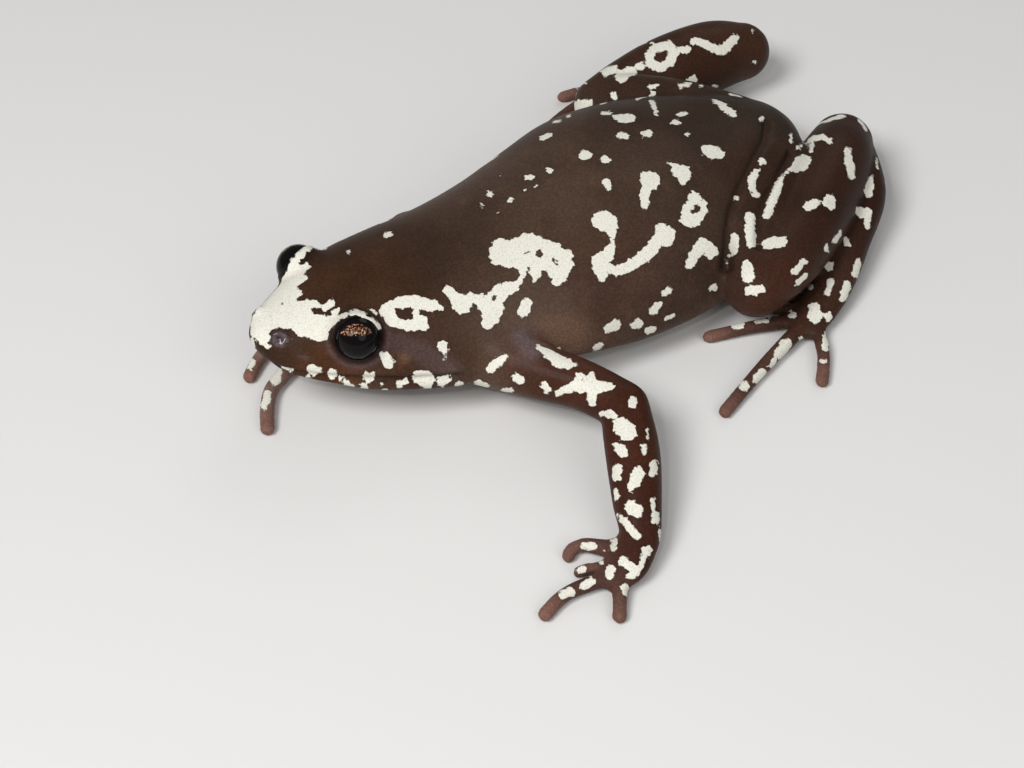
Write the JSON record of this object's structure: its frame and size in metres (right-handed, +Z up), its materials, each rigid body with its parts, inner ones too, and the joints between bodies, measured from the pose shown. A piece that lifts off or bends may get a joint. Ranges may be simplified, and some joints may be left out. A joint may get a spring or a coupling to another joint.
{
  "type": "humming frog",
  "caption": "Small flat-backed humming frog resting on its belly with folded hind legs and one arm reaching out, dark brown with cream-white blotches.",
  "frame": {"origin": "middle of the part's box, on the surface that the frog rests on", "axes": "+Z up, the snout points to -Y, the frog's left side is at +X"},
  "size_m": [0.0344, 0.0376, 0.0075],
  "materials": {
    "back_skin": "moist, granular, dark brown with cream-white blotches",
    "limb_skin": "moist, granular, brown with cream-white spots",
    "digit_skin": "moist, pinkish brown",
    "eye": "wet, glossy black"
  },
  "bodies": {
    "root": {"head": "back_skin", "torso": "back_skin", "eye_left": "eye", "eye_right": "eye", "upper_arm_left": "limb_skin", "forearm_left": "limb_skin", "hand_left": "limb_skin", "thigh_left": "limb_skin", "shank_left": "limb_skin", "tarsus_left": "limb_skin", "foot_left": "limb_skin", "finger_1_left": "digit_skin", "finger_2_left": "digit_skin", "finger_3_left": "digit_skin", "finger_4_left": "digit_skin", "toe_1_left": "digit_skin", "toe_2_left": "digit_skin", "toe_3_left": "digit_skin", "toe_4_left": "digit_skin", "toe_5_left": "digit_skin", "upper_arm_right": "limb_skin", "forearm_right": "limb_skin", "hand_right": "limb_skin", "thigh_right": "limb_skin", "shank_right": "limb_skin", "tarsus_right": "limb_skin", "foot_right": "limb_skin", "finger_1_right": "digit_skin", "finger_2_right": "digit_skin", "finger_3_right": "digit_skin", "finger_4_right": "digit_skin", "toe_1_right": "digit_skin", "toe_2_right": "digit_skin", "toe_3_right": "digit_skin", "toe_4_right": "digit_skin", "toe_5_right": "digit_skin"}
  },
  "joints": []
}
